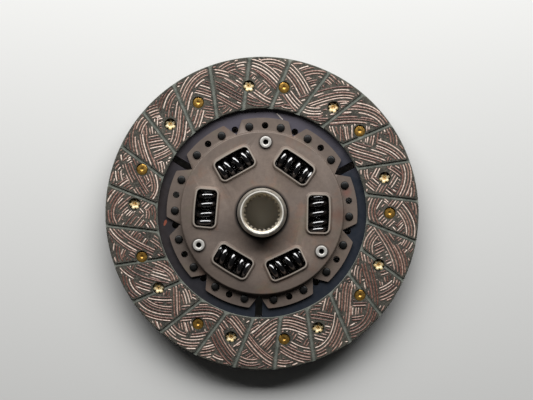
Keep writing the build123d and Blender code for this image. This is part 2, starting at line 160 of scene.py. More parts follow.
def dressed(nodeName, finish, body, edge, mouth=None):
    # a merged copy of a solid, with its sharp edges broken as on the real piece; mouth is the radius and
    # the height of a round edge with a wider break, and that width
    obj = bpy.data.objects.new(nodeName + "_finished", nodes[nodeName].data.copy())
    bpy.context.scene.collection.objects.link(obj)
    mesh = obj.data
    work = bmesh.new()
    work.from_mesh(mesh)
    bmesh.ops.remove_doubles(work, verts=work.verts, dist=2e-6)
    bmesh.ops.dissolve_limit(work, angle_limit=0.2 * degree, verts=work.verts, edges=work.edges)
    if mouth:
        radius, height, width = mouth
        ring = [e for e in work.edges if all(onCircle(v, radius, height) for v in e.verts)]
        bmesh.ops.bevel(
            work, geom=ring, offset=width, segments=3, profile=0.5, affect="EDGES", clamp_overlap=True
        )
    work.to_mesh(mesh)
    work.free()
    mesh.shade_smooth()
    mesh.set_sharp_from_angle(angle=sharpAngle * degree)
    mesh.materials.clear()
    mesh.materials.append(finish)
    bevel = obj.modifiers.new("brokenEdges", "BEVEL")
    bevel.width = edge
    bevel.segments = 2
    bevel.limit_method = "ANGLE"
    bevel.angle_limit = sharpAngle * degree
    bevel.harden_normals = True
    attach(obj, body)
    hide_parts(nodeName)
    return obj


def shown(nodeName, finish):
    # a solid that stays as it is, with its finish
    mesh = nodes[nodeName].data
    mesh.materials.clear()
    mesh.materials.append(finish)


def colour(red, green, blue):
    # from the 0-255 values of a screen to the linear values that a shader takes
    c = np.array([red, green, blue]) / 255
    linear = np.where(c <= 0.04045, c / 12.92, ((c + 0.055) / 1.055) ** 2.4)
    return (*linear.tolist(), 1.0)


class Field:  # a shader socket that takes part in sums and products
    def __init__(self, finish, socket):
        self.finish, self.socket = finish, socket

    def combined(self, operation, *values):
        return self.finish.node("ShaderNodeMath", {"operation": operation}, dict(enumerate(values)))

    def __add__(self, other):
        return self.combined("ADD", self, other)

    def __radd__(self, other):
        return self.combined("ADD", other, self)

    def __sub__(self, other):
        return self.combined("SUBTRACT", self, other)

    def __rsub__(self, other):
        return self.combined("SUBTRACT", other, self)

    def __mul__(self, other):
        return self.combined("MULTIPLY", self, other)

    def __rmul__(self, other):
        return self.combined("MULTIPLY", other, self)

    def __pow__(self, other):
        return self.combined("POWER", self, other)

    def __lt__(self, other):
        return self.combined("LESS_THAN", self, other)

    def __gt__(self, other):
        return self.combined("GREATER_THAN", self, other)

    def __abs__(self):
        return self.combined("ABSOLUTE", self)


class Finish:  # one material, with its shader and the fields that feed it
    # base, roughness and metallic are plain values, which a field may replace
    def __init__(self, name, base, roughness, metallic=0.0, ior=1.5):
        self.material = bpy.data.materials.new(name)
        self.material.use_nodes = True
        self.tree = self.material.node_tree
        self.shader = self.tree.nodes["Principled BSDF"]
        self.feed("Base Color", base)
        self.feed("Roughness", roughness)
        self.feed("Metallic", metallic)
        self.feed("IOR", ior)

    def node(self, kind, settings, inputs, output=0):
        # the settings come first, as they can change the sockets
        made = self.tree.nodes.new(kind)
        for setting, value in settings.items():
            if setting == "stops":
                self.setStops(made.color_ramp, value)
            else:
                setattr(made, setting, value)
        for key, value in inputs.items():
            self.plug(made.inputs[key], value)
        return Field(self, made.outputs[output])

    def setStops(self, ramp, stops):
        while len(ramp.elements) < len(stops):
            ramp.elements.new(1.0)
        for element, (place, stopColour) in zip(ramp.elements, stops):
            element.position = place
            element.color = stopColour

    def plug(self, socket, value):
        if isinstance(value, Field):
            self.tree.links.new(value.socket, socket)
        else:
            socket.default_value = value

    def feed(self, socketName, value):
        self.plug(self.shader.inputs[socketName], value)

    def place(self):
        return self.node("ShaderNodeTexCoord", {}, {}, "Object")

    def xyz(self):
        split = self.node("ShaderNodeSeparateXYZ", {}, {"Vector": self.place()})
        return [Field(self, out) for out in split.socket.node.outputs]

    def tone(self):
        return self.node("ShaderNodeAttribute", {"attribute_name": "tone"}, {}, "Fac")

    def noise(self, scale, detail=3.0, roughness=0.5, stretch=None):
        where = self.place()
        if stretch:
            where = self.node("ShaderNodeMapping", {}, {"Vector": where, "Scale": stretch})
        inputs = {"Vector": where, "Scale": scale, "Detail": detail, "Roughness": roughness}
        return self.node("ShaderNodeTexNoise", {}, inputs)

    def span(self, field, low, high, toLow=0.0, toHigh=1.0):
        # straight line from low..high to toLow..toHigh, held at its ends
        inputs = {"Value": field, "From Min": low, "From Max": high, "To Min": toLow, "To Max": toHigh}
        return self.node("ShaderNodeMapRange", {"clamp": True}, inputs)

    def mix(self, share, first, second):
        # the node takes its two colours at sockets 6 and 7, and gives the mixed one at 2
        return self.node("ShaderNodeMix", {"data_type": "RGBA"}, {0: share, 6: first, 7: second}, 2)

    def bump(self, height, distance):
        self.feed("Normal", self.node("ShaderNodeBump", {}, {"Height": height, "Distance": distance}))


print("stage: camera and light")
view = {
    "frame": (533, 400),
    "discCentre": (262.0, 212.9),  # pixels
    "discWidth": 313.4,  # pixels across the facings
    "distance": 1.15,  # to the front facing
    "tilt": 1.5 * degree,  # from square on
    "sensor": 36.0,
    "clip": (0.01, 20.0),
}


def makeCamera():
    data = bpy.data.cameras.new("camera")
    camera = bpy.data.objects.new("camera", data)
    bpy.context.scene.collection.objects.link(camera)
    bpy.context.scene.camera = camera
    facingLow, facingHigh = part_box("front_facing")
    widthInPixels, heightInPixels = view["frame"]
    perPixel = (facingHigh.x - facingLow.x) / view["discWidth"]
    data.sensor_width = view["sensor"]
    data.lens = view["sensor"] * view["distance"] / (widthInPixels * perPixel)
    data.clip_start, data.clip_end = view["clip"]
    centreX, centreY = view["discCentre"]
    across = (widthInPixels / 2 - centreX) * perPixel
    up = (centreY - heightInPixels / 2) * perPixel
    tilt = view["tilt"]
    target = Vector((across, up * np.cos(tilt), facingHigh.z))
    camera.location = target + view["distance"] * Vector((0, -np.sin(tilt), np.cos(tilt)))
    camera.rotation_euler = (tilt, 0, 0)


light = {
    "world": 0.025,
    "watts": 24.0,  # of the soft panel
    "place": (0.0, 0.74, 0.57),
    "size": (1.8, 0.5),
}


def makeLight():
    world = bpy.data.worlds.new("studio")
    bpy.context.scene.world = world
    world.use_nodes = True
    background = world.node_tree.nodes["Background"]
    background.inputs["Color"].default_value = (1, 1, 1, 1)
    background.inputs["Strength"].default_value = light["world"]
    data = bpy.data.lights.new("softPanel", "AREA")
    data.shape = "RECTANGLE"
    data.size, data.size_y = light["size"]
    data.energy = light["watts"]
    lamp = bpy.data.objects.new("softPanel", data)
    lamp.location = light["place"]
    lamp.rotation_euler = (-Vector(light["place"])).to_track_quat("-Z", "Y").to_euler()
    bpy.context.scene.collection.objects.link(lamp)


sheet = {
    "reach": 6.0,
    "paper": colour(206, 206, 204),
    "roughness": 0.9,
}


def makeFloor():
    # a wide pale sheet under the disc
    reach, z = sheet["reach"], cadLow.z
    corners = [(-reach, -reach, z), (reach, -reach, z), (reach, reach, z), (-reach, reach, z)]
    mesh = bpy.data.meshes.new("floor")
    mesh.from_pydata(corners, [], [(0, 1, 2, 3)])
    floor = bpy.data.objects.new("floor", mesh)
    bpy.context.scene.collection.objects.link(floor)
    mesh.materials.append(Finish("paper", sheet["paper"], sheet["roughness"]).material)


makeCamera()
makeLight()
makeFloor()
bpy.context.scene.view_settings.view_transform = "Standard"

print("stage: finishes")


def liningFinish():
    # dark green-grey resin with pale fibre specks; the moulded grooves and sides are paler than the
    # ground face
    finish = Finish("liningResin", colour(70, 66, 58), 0.86)
    groundDepth = 0.35 * mm
    z = finish.xyz()[2]
    ground = abs(z) > topOf("front_facing") - groundDepth
    speck = finish.span(finish.noise(900, 4, 0.7), 0.48, 0.74)
    blotch = finish.span(finish.noise(130, 2), 0.35, 0.7)
    resin = finish.mix(blotch, colour(38, 36, 31), colour(62, 60, 52))
    resin = finish.mix(speck * 0.7, resin, colour(124, 118, 106))
    dust = finish.span(finish.noise(260, 4, 0.6), 0.32, 0.68)
    moulded = finish.mix(dust, colour(82, 88, 80), colour(122, 124, 116))
    finish.feed("Base Color", finish.mix(ground, moulded, resin))
    finish.bump(finish.noise(1500, 3, 0.6), 0.06 * mm)
    return finish.material


def yarnFinish():
    # ground glass and copper yarn, every strand its own tone; the pale crown and the darker flanks and root
    # are partly the yarn's own reddish colour and partly painted shade of the round strand
    finish = Finish("liningYarn", colour(160, 130, 116), 0.38)
    fibre = finish.span(finish.noise(700, 3, 0.6), 0.3, 0.7)
    stops = (
        (0.0, colour(54, 38, 34)),
        (0.3, colour(112, 78, 68)),
        (0.62, colour(168, 140, 126)),
        (1.0, colour(232, 216, 202)),
    )
    paleness = finish.tone() * 0.95 + fibre * 0.4 - 0.14
    finish.feed("Base Color", finish.node("ShaderNodeValToRGB", {"stops": stops}, {"Fac": paleness}))
    finish.bump(finish.noise(1800, 2), 0.05 * mm)
    return finish.material


plateMarks = {
    "heatTints": (  # x, y, how far they reach, colour
        (61.0 * mm, 15.0 * mm, 6.0 * mm, colour(150, 74, 58)),
        (55.5 * mm, -1.0 * mm, 9.0 * mm, colour(112, 62, 42)),
    ),
    "tintCore": 2.0 * mm,  # within which they are full
    "rimPaintedShade": (43.0 * mm, 56.0 * mm),  # painted shade; radius where it starts and where it is full
    "hubPaintedShadow": (19.0 * mm, 20.6 * mm),  # painted shadow round the hub; radius where it is full and where it ends
    "pinPaintedShadow": (4.7 * mm, 6.2 * mm),  # the same, from the axis of a stop pin
    "paintedCrestHighlight": (0.15 * mm, 0.04 * mm),  # painted highlight along the lips' tops; depth under the top of a lip where it starts and is full
}


def plateFinish():
    # brown-grey phosphate with faint warm and green clouds
    finish = Finish("phosphatedSteel", colour(118, 104, 96), 0.55, 0.25)
    marks = plateMarks
    cloud = finish.span(finish.noise(22, 3), 0.35, 0.7)
    base = finish.mix(cloud, colour(116, 104, 96), colour(133, 117, 105))
    mottle = finish.span(finish.noise(330, 4, 0.7), 0.34, 0.66)
    base = finish.mix(mottle * 0.36, base, colour(90, 79, 73))
    warm = finish.span(finish.noise(60, 4, 0.65), 0.56, 0.74)
    base = finish.mix(warm * 0.35, base, colour(150, 104, 78))
    green = finish.span(finish.noise(48, 3, 0.6, stretch=(1.0, 1.3, 1.0)), 0.6, 0.75)
    base = finish.mix(green * 0.3, base, colour(104, 108, 78))
    x, y, z = finish.xyz()
    blur = finish.noise(200, 3) * 3 * mm
    for tintX, tintY, reach, tint in marks["heatTints"]:
        fromTint = ((x - tintX) ** 2 + (y - tintY) ** 2) ** 0.5 + blur
        share = finish.span(fromTint, marks["tintCore"], reach, 0.5, 0.0) * (z > 0)
        base = finish.mix(share, base, tint)
    # painted shade: darker towards the rim of the dish and on the tabs; a painted shadow, near black, round
    # the hub and round the stop pins
    radius = (x * x + y * y) ** 0.5
    paintedShadow = colour(18, 15, 13)
    base = finish.mix(finish.span(radius, *marks["rimPaintedShade"], 0.0, 0.36), base, colour(62, 54, 48))
    # painted shadow, near black, in the gap round the hub
    base = finish.mix(finish.span(radius + blur * 0.1, *marks["hubPaintedShadow"], 0.93, 0.0), base, paintedShadow)
    # painted contact shadow round each stop pin
    for i in (1, 2, 3):
        pin = centreOf(f"stop_pin_{i}")
        fromPin = ((x - pin.x) ** 2 + (y - pin.y) ** 2) ** 0.5 + blur * 0.2
        base = finish.mix(finish.span(fromPin, *marks["pinPaintedShadow"], 0.85, 0.0), base, paintedShadow)
    grain = finish.noise(1400, 3, 0.6)
    base = finish.mix(finish.span(grain, 0.3, 0.8) * 0.3, base, colour(86, 74, 68))
    # a painted highlight: the lips round the windows of both plates are painted pale steel along their tops
    top, bottom = topOf("clutch_plate"), bottomOf("retaining_plate")
    fromMiddle = abs(z - (top + bottom) / 2)
    starts, full = ((top - bottom) / 2 - depth for depth in marks["paintedCrestHighlight"])
    paintedCrestHighlight = finish.span(fromMiddle, starts, full)
    finish.feed("Base Color", finish.mix(paintedCrestHighlight * 0.42, base, colour(186, 178, 166)))
    finish.feed("Roughness", finish.span(cloud, 0, 1, 0.5, 0.66))
    finish.bump(grain, 0.03 * mm)
    return finish.material


bandMarks = {
    "dab": (-67.6 * mm, -6.9 * mm),
    "dabReach": 3.0 * mm,  # half its length, with the blurred edge
    "dabNarrow": 2.2,  # times as long as wide
    "dabLean": 0.3,  # x for each y
    "scratch": (12.8 * mm, 69.6 * mm),
    "scratchAngle": -45.57 * degree,
    "scratchHalf": (3.1 * mm, 0.46 * mm),  # of its length and width
}


def bluedFinish():
    # heat colours: violet towards +Y, brown towards -X, slate blue elsewhere
    finish = Finish("bluedSteel", colour(60, 62, 70), 0.42, 0.4)
    marks = bandMarks
    x, y, z = finish.xyz()
    cloud = finish.noise(30, 3, 0.6) * 60 * mm
    violet = finish.span(y + cloud, 50 * mm, 108 * mm)
    brown = finish.span(cloud - x, 48 * mm, 112 * mm)
    base = finish.mix(violet, colour(42, 48, 58), colour(106, 100, 110))
    base = finish.mix(brown * 0.85, base, colour(62, 53, 50))
    mottle = finish.span(finish.noise(240, 4, 0.6), 0.3, 0.7)
    base = finish.mix(mottle * 0.35, base, colour(34, 34, 40))
    # a dab of orange paint, and a pale scratch, both in front
    blur = finish.noise(500, 3, 0.6) * 1.6 * mm
    front = z > 0
    dabX, dabY = marks["dab"]
    fromDabX = (x - dabX - marks["dabLean"] * y) * marks["dabNarrow"]
    fromDab = (fromDabX**2 + (y - dabY) ** 2) ** 0.5 + blur
    base = finish.mix((fromDab < marks["dabReach"]) * front, base, colour(150, 84, 66))
    fromX, fromY = x - marks["scratch"][0], y - marks["scratch"][1]
    c, s = np.cos(marks["scratchAngle"]), np.sin(marks["scratchAngle"])
    halfLength, halfWidth = marks["scratchHalf"]
    inLength = abs(fromX * c + fromY * s) < halfLength
    inWidth = abs(fromY * c - fromX * s) + blur * 0.15 < halfWidth
    scratched = inLength * inWidth * front
    finish.feed("Base Color", finish.mix(scratched * 0.85, base, colour(206, 196, 184)))
    finish.feed("Roughness", finish.span(mottle, 0, 1, 0.34, 0.52))
    finish.bump(finish.noise(900, 3), 0.02 * mm)
    return finish.material


def brassFinish():
    # amber heads; the split tails are painted pale cream and less metallic, a painted reflection of the
    # lamp on their petals
    finish = Finish("rivetBrass", colour(214, 164, 66), 0.24, 0.8)
    isTail = finish.tone()
    patch = finish.span(finish.noise(420, 3), 0.3, 0.75)
    head = finish.mix(patch, colour(192, 154, 80), colour(154, 112, 48))
    # painted reflection: the tails' pale cream
    tail = finish.mix(patch, colour(255, 242, 204), colour(255, 214, 140))
    finish.feed("Base Color", finish.mix(isTail, head, tail))
    finish.feed("Metallic", 0.85 - 0.75 * isTail)
    finish.feed("Roughness", finish.span(finish.noise(900, 3), 0.3, 0.7, 0.3, 0.5))
    finish.bump(finish.noise(1300, 2), 0.02 * mm)
    return finish.material


def blackSteelFinish():
    # black oxide, a little greyer in patches
    finish = Finish("blackSteel", colour(40, 40, 36), 0.46, ior=1.36)
    worn = finish.span(finish.noise(700, 4, 0.65), 0.5, 0.75)
    finish.feed("Base Color", finish.mix(worn, colour(9, 9, 9), colour(29, 29, 27)))
    finish.bump(finish.noise(1500, 2), 0.03 * mm)
    return finish.material


def brightSteelFinish():
    # pale turned face, with painted shade near black in the dimple
    turnedFace = colour(214, 211, 205)
    finish = Finish("brightSteel", turnedFace, 0.38, 0.6)
    # painted shade: the dimple's trough near black
    finish.feed("Base Color", finish.mix(finish.tone(), turnedFace, colour(14, 13, 12)))
    finish.feed("Roughness", finish.span(finish.noise(900, 3), 0.3, 0.7, 0.34, 0.48))
    finish.bump(finish.noise(1200, 2), 0.01 * mm)
    return finish.material


hubFace = {
    "teethRadius": 14.45 * mm,  # inner edge of the ground rim
    "rimRadius": 15.35 * mm,  # its outer edge
}


def machinedFinish():
    # turned steel with fine rings about the hub axis; the rim of the bore is ground bright, with deeper
    # rings, and the teeth inside it are yellower
    finish = Finish("machinedSteel", colour(196, 190, 180), 0.4, 0.55)
    x, y, z = finish.xyz()
    radius = (x * x + y * y) ** 0.5
    inputs = {"W": radius + z, "Scale": 5200.0, "Detail": 2.0}
    ring = finish.node("ShaderNodeTexNoise", {"noise_dimensions": "1D"}, inputs)
    stain = finish.span(finish.noise(140, 4, 0.6), 0.45, 0.75)
    turnedFace = finish.mix(stain, colour(178, 172, 162), colour(138, 126, 112))
    ground = finish.mix(stain * 0.5, colour(250, 246, 236), colour(214, 204, 190))
    teeth = finish.mix(stain, colour(206, 197, 180), colour(146, 133, 110))
    inBore = radius < hubFace["teethRadius"]
    inRim = radius < hubFace["rimRadius"]
    finish.feed("Base Color", finish.mix(inBore, finish.mix(inRim, turnedFace, ground), teeth))
    finish.feed("Metallic", 0.9 - 0.45 * inRim + 0.25 * inBore)
    finish.feed("Roughness", finish.span(ring, 0.3, 0.7, 0.3, 0.44))
    finish.bump(ring * (1 + 2.2 * (inRim - inBore)), 0.03 * mm)
    return finish.material


def springFinish():
    # glossy black enamel
    finish = Finish("blackSpring", colour(22, 22, 24), 0.2, ior=2.2)
    film = finish.span(finish.noise(160, 3), 0.3, 0.7)
    finish.feed("Base Color", finish.mix(film, colour(7, 7, 8), colour(16, 15, 16)))
    finish.feed("Roughness", finish.span(finish.noise(500, 3), 0.3, 0.7, 0.1, 0.2))
    return finish.material


def resinFinish():
    # moulded, dull
    finish = Finish("darkResin", colour(40, 37, 33), 0.75, ior=1.25)
    patch = finish.span(finish.noise(600), 0.3, 0.7)
    finish.feed("Base Color", finish.mix(patch, colour(12, 11, 10), colour(22, 20, 18)))
    return finish.material


def plainSteelFinish():
    # ground, uncoated
    finish = Finish("plainSteel", colour(140, 138, 134), 0.4, 1.0)
    finish.feed("Roughness", finish.span(finish.noise(300), 0.3, 0.7, 0.34, 0.5))
    return finish.material


lining, yarn, phosphated = liningFinish(), yarnFinish(), plateFinish()
blued, brass, blackSteel = bluedFinish(), brassFinish(), blackSteelFinish()
brightSteel, machined, blackSpring = brightSteelFinish(), machinedFinish(), springFinish()
darkResin, plainSteel = resinFinish(), plainSteelFinish()

print("stage: solids")
brokenEdge = {
    "plates": 0.3 * mm,
    "hub": 0.25 * mm,
    "mouthRadius": 13.8 * mm,  # of the bore, at the top of the hub
    "mouth": 0.8 * mm,
}
shownFinish = {
    "front_facing": lining,
    "rear_facing": lining,
    "cushion_plate_1": blued,
    "cushion_plate_2": blued,
    "cushion_plate_3": blued,
    "friction_bush": darkResin,
    "rear_friction_washer": darkResin,
    "thrust_plate": plainSteel,
    "cone_spring": plainSteel,
}


def finishSolids():
    for nodeName, finish in shownFinish.items():
        shown(nodeName, finish)
    for nodeName in ("clutch_plate", "retaining_plate"):
        dressed(nodeName, phosphated, "disc", brokenEdge["plates"])
    mouth = (brokenEdge["mouthRadius"], topOf("hub"), brokenEdge["mouth"])
    dressed("hub", machined, "hub", brokenEdge["hub"], mouth)


finishSolids()

print("stage: damper springs")
damperSpring = {
    "circle": 40.2 * mm,  # radius on which the six lie
    "angles": (55, 119, 175, 239, 295, 359),
    "firstTop": (0.09, 0.2, 0.1, 0.34, 0.81, 0.48),  # turns from an end to the first crown
    "outside": 8.5 * mm,  # radius of the coil
    "wire": 2.1 * mm,  # radius
    "half": 13.0 * mm,  # of its length
    "pinch": 0.48 * mm,  # by which an end is narrower than the middle
    "pinchTurns": 1.6,  # at each end
    "closedTurns": 1.3,  # at each end, ground flat
    "closedPitch": 4.22 * mm,
    "easing": 0.24,  # turns over which it opens
    "openTurns": 2.3,
    "openPitch": 7.0 * mm,
    "perTurn": 44,
    "sides": 18,
    "pressed": 0.785,  # of its length, with the hub at a stop
}


def damperSpringShape(angle, height, firstTop):
    # right-handed coil: centre line r (sin f, cos f) across and y(f) along, where y adds up the pitch;
    # a circle of the wire's radius goes round it, held between the two ground ends
    spring = damperSpring
    turns = 2 * spring["closedTurns"] + spring["openTurns"]
    t = np.linspace(0, turns, int(turns * spring["perTurn"]))
    fromEnd = np.minimum(t, turns - t)
    opened = np.clip((fromEnd - spring["closedTurns"] + spring["easing"] / 2) / spring["easing"], 0, 1)
    opened = opened * opened * (3 - 2 * opened)
    pitch = spring["closedPitch"] + (spring["openPitch"] - spring["closedPitch"]) * opened
    y = np.concatenate([[0.0], np.cumsum((pitch[1:] + pitch[:-1]) / 2 * np.diff(t))])
    y = y - y[-1] / 2
    f = 2 * np.pi * (t - firstTop)
    nearEnd = np.clip(1 - fromEnd / spring["pinchTurns"], 0, 1)
    mean = spring["outside"] - spring["wire"] - spring["pinch"] * nearEnd
    outward = np.stack([np.sin(f), 0 * f, np.cos(f)], 1)
    centre = mean[:, None] * outward + np.stack([0 * f, y, 0 * f], 1)
    tangent = np.gradient(centre, axis=0)
    tangent /= np.linalg.norm(tangent, axis=1, keepdims=True)
    sideways = np.cross(tangent, outward)
    k = np.linspace(0, 2 * np.pi, spring["sides"], endpoint=False)[None, :, None]
    ring = centre[:, None] + spring["wire"] * (np.cos(k) * outward[:, None] + np.sin(k) * sideways[:, None])
    ring = np.concatenate([ring[:1] * 0 + centre[:1, None], ring, ring[-1:] * 0 + centre[-1:, None]])
    ring[..., 1] = np.clip(ring[..., 1], -spring["half"], spring["half"])
    placed = turned(ring + np.array([spring["circle"], 0.0, height]), angle)
    return placed, gridQuads(len(t) + 2, spring["sides"], closeColumns=True)


def makeDamperSprings():
    spring = damperSpring
    for i, (turn, firstTop) in enumerate(zip(spring["angles"], spring["firstTop"]), 1):
        node = f"damper_spring_{i}"
        angle, height = turn * degree, centreOf(node).z
        shape = damperSpringShape(angle, height, firstTop)
        name, stands = f"damper_coil_{i}", (node,)
        coil = piece(name, shape, blackSpring, "springs", stands, sharpAbove=50)
        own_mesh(coil)


makeDamperSprings()

print("stage: rivets and pins")
facingRivet = {
    "circle": 91.8 * mm,
    "count": 9,
    "angles": (0.0, 16.0),  # of the first, in front and behind
    "seeds": (5, 6),
    "seat": 1.6 * mm,  # of the head, above the pad
    "tailSeat": -0.7 * mm,  # of the tail, on the pad's other face
    "steps": 60,
    "petals": 6,
    "slit": 0.62,  # how deep the splits go, of the petal's length
    "slitSharpness": 10,  # a power of the cosine
    "slitLift": 0.12,  # height of a split's floor, over its distance past the neck
    "neck": 2.0 * mm,  # where the petals start
    "uneven": 0.05,  # longer or shorter on one side
    "head": (  # radius and height in mm, from its seat
        (0.0, 0.30), (0.55, 0.32), (0.95, 0.62), (1.35, 0.80), (1.8, 0.78), (2.5, 0.80),
        (3.3, 0.72), (3.75, 0.55), (4.0, 0.28), (4.0, 0.0), (1.92, 0.0),
    ),
    "bulge": 0.55 * mm,  # of a petal's middle over its edges
    "bulgeFrom": 1.2 * mm,  # past the neck, where it is full
    "back": -0.9 * mm,  # below which the petals' backs lie
    "tail": (  # radius and height in mm, from its seat
        (1.92, 0.0), (2.05, 0.0), (2.9, -0.2), (3.75, -0.3), (3.95, -0.55), (3.7, -0.9), (3.2, -1.22),
        (2.5, -1.42), (1.95, -1.38), (1.55, -1.1), (1.25, -0.5), (1.1, 0.2), (0.7, 0.4), (0.0, 0.45),
    ),
}


def facingRivetShape(rng):
    # profile (r, z) carried round Z; past the neck the tail goes 1 - slit |cos(n a / 2)|^sharpness of the
    # way, and the backs of its n petals stand out by bulge sin^2(n a / 2)
    rivet = facingRivet
    head = np.array(rivet["head"]) * mm + np.array([0, rivet["seat"]])
    tail = np.array(rivet["tail"]) * mm + np.array([0, rivet["tailSeat"]])
    r, z = np.concatenate([head, tail]).T[:, None]
    a = np.linspace(0, 2 * np.pi, rivet["steps"], endpoint=False)[:, None]
    swing = rivet["petals"] * a / 2 + rng.uniform(0, np.pi)
    split = np.abs(np.cos(swing)) ** rivet["slitSharpness"]
    isTail = np.repeat([0.0, 1.0], [len(head), len(tail)])[None]
    beyond = np.maximum(r - rivet["neck"], 0) * isTail
    uneven = 1 + rivet["uneven"] * np.sin(2 * a + rng.uniform(0, 6)) * isTail
    r = (r - beyond * split * rivet["slit"]) * np.where(beyond > 0, uneven, 1.0)
    onBack = np.clip(beyond / rivet["bulgeFrom"], 0, 1) * (z < rivet["back"])
    z = z + beyond * split * rivet["slitLift"] - rivet["bulge"] * np.sin(swing) ** 2 * onBack
    points = np.stack([r * np.cos(a), r * np.sin(a), z], -1)
    tones = np.broadcast_to(isTail, z.shape).ravel()
    return points, gridQuads(rivet["steps"], r.shape[1], closeRows=True), tones


def makeFacingRivets():
    # the rear facing's are the front one's turned over
    rivet = facingRivet
    outward = np.array([rivet["circle"], 0, 0])
    lift = np.array([0, 0, bottomOf("front_facing")])
    for side, first, seed in zip(("front", "rear"), rivet["angles"], rivet["seeds"]):
        rng = np.random.default_rng(seed)
        rivets, tones = [], []
        for k in range(rivet["count"]):
            points, quads, tone = facingRivetShape(rng)
            points = points + lift
            if side == "rear":
                points = turnedOver(points)
            angle = (first + k * 360 / rivet["count"]) * degree
            rivets.append((turned(points + outward, angle), quads))
            tones.append(tone)
        name, stands = f"{side}_rivet_set", (f"{side}_facing_rivets",)
        shape, tones = joined(rivets), np.concatenate(tones)
        piece(name, shape, brass, "disc", stands, sharpAbove=50, tones=tones)


makeFacingRivets()

cushionRivet = {
    "circle": 62.7 * mm,
    "firstPad": 8.0,  # degrees
    "pads": 9,
    "spread": 10.4,  # degrees to each side of a pad's middle
    "steps": 36,
    "profile": (  # radius and height in mm, from the tab
        (0.0, 1.3), (1.3, 1.27), (2.05, 1.12), (2.55, 0.86),
        (2.85, 0.5), (2.95, 0.18), (2.95, 0.0), (1.98, 0.0),
    ),
}


def makeCushionRivets():
    # a domed head on the tab, its shank, and the same head below
    rivet = cushionRivet
    top, bottom = topOf("cushion_rivets"), bottomOf("cushion_rivets")
    half = np.array(rivet["profile"]) * mm
    height = half[0, 1]
    upper = half + np.array([0, top - height])
    lower = half[::-1] * np.array([1, -1]) + np.array([0, bottom + height])
    points, quads = lathe(np.concatenate([upper, lower]), rivet["steps"])
    points = points + np.array([rivet["circle"], 0, 0])
    rivets = []
    for pad in range(rivet["pads"]):
        middle = rivet["firstPad"] + pad * 360 / rivet["pads"]
        for angle in (middle - rivet["spread"], middle + rivet["spread"]):
            rivets.append((turned(points, angle * degree), quads))
    shape, stands = joined(rivets), ("cushion_rivets",)
    piece("cushion_rivet_set", shape, blackSteel, "disc", stands, sharpAbove=50)


makeCushionRivets()

stopPin = {
    "circle": 50.8 * mm,
    "angles": (87, 207, 327),
    "steps": 64,
    "headHeight": 1.6 * mm,
    "plate": 1.8 * mm,  # thickness of the plates
    "end": 3.0 * mm,  # radius in the plates' holes
    "body": 4.5 * mm,  # radius between the plates
    # radius and height in mm, from the outer face of a plate
    "dimple": ((0.0, -1.1), (1.6, -0.9), (1.82, -0.5), (1.9, 1.3), (1.98, 1.5), (2.15, 1.6)),
    "paintedShadeBelow": 0.8,  # painted shade in the dimple, below this height
    "rim": ((3.55, 1.6), (3.95, 1.5), (4.15, 1.22), (4.2, 0.9), (4.2, 0.0)),
    "rear": ((4.2, 0.0), (4.2, -0.9), (4.12, -1.25), (3.9, -1.5), (3.4, -1.6), (0.0, -1.6)),
}


def makeStopPins():
    # a turned pin: a head with a centre dimple in front, a flat one behind, and a shoulder between the
    # plates; a point of the profile is painted as shade in the dimple or not, all the way round
    pin = stopPin
    end, body, plate = pin["end"], pin["body"], pin["plate"]
    for i, angle in enumerate(pin["angles"], 1):
        node = f"stop_pin_{i}"
        faceZ = topOf(node) - pin["headHeight"]
        backZ = bottomOf(node) + pin["headHeight"]
        profile = [(r * mm, faceZ + z * mm) for r, z in pin["dimple"] + pin["rim"]]
        profile += [(end, faceZ), (end, faceZ - plate), (body, faceZ - plate)]
        profile += [(body, backZ + plate), (end, backZ + plate), (end, backZ)]
        profile += [(r * mm, backZ + z * mm) for r, z in pin["rear"]]
        points, quads = lathe(profile, pin["steps"])
        points = turned(points + np.array([pin["circle"], 0, 0]), angle * degree)
        paintedShade = [float(z < pin["paintedShadeBelow"]) for r, z in pin["dimple"]]
        paintedShade += [0.0] * (len(profile) - len(paintedShade))
        tones = np.tile(paintedShade, pin["steps"])
        shape, name = (points, quads), f"turned_pin_{i}"
        piece(name, shape, brightSteel, "disc", (node,), sharpAbove=40, tones=tones)


makeStopPins()

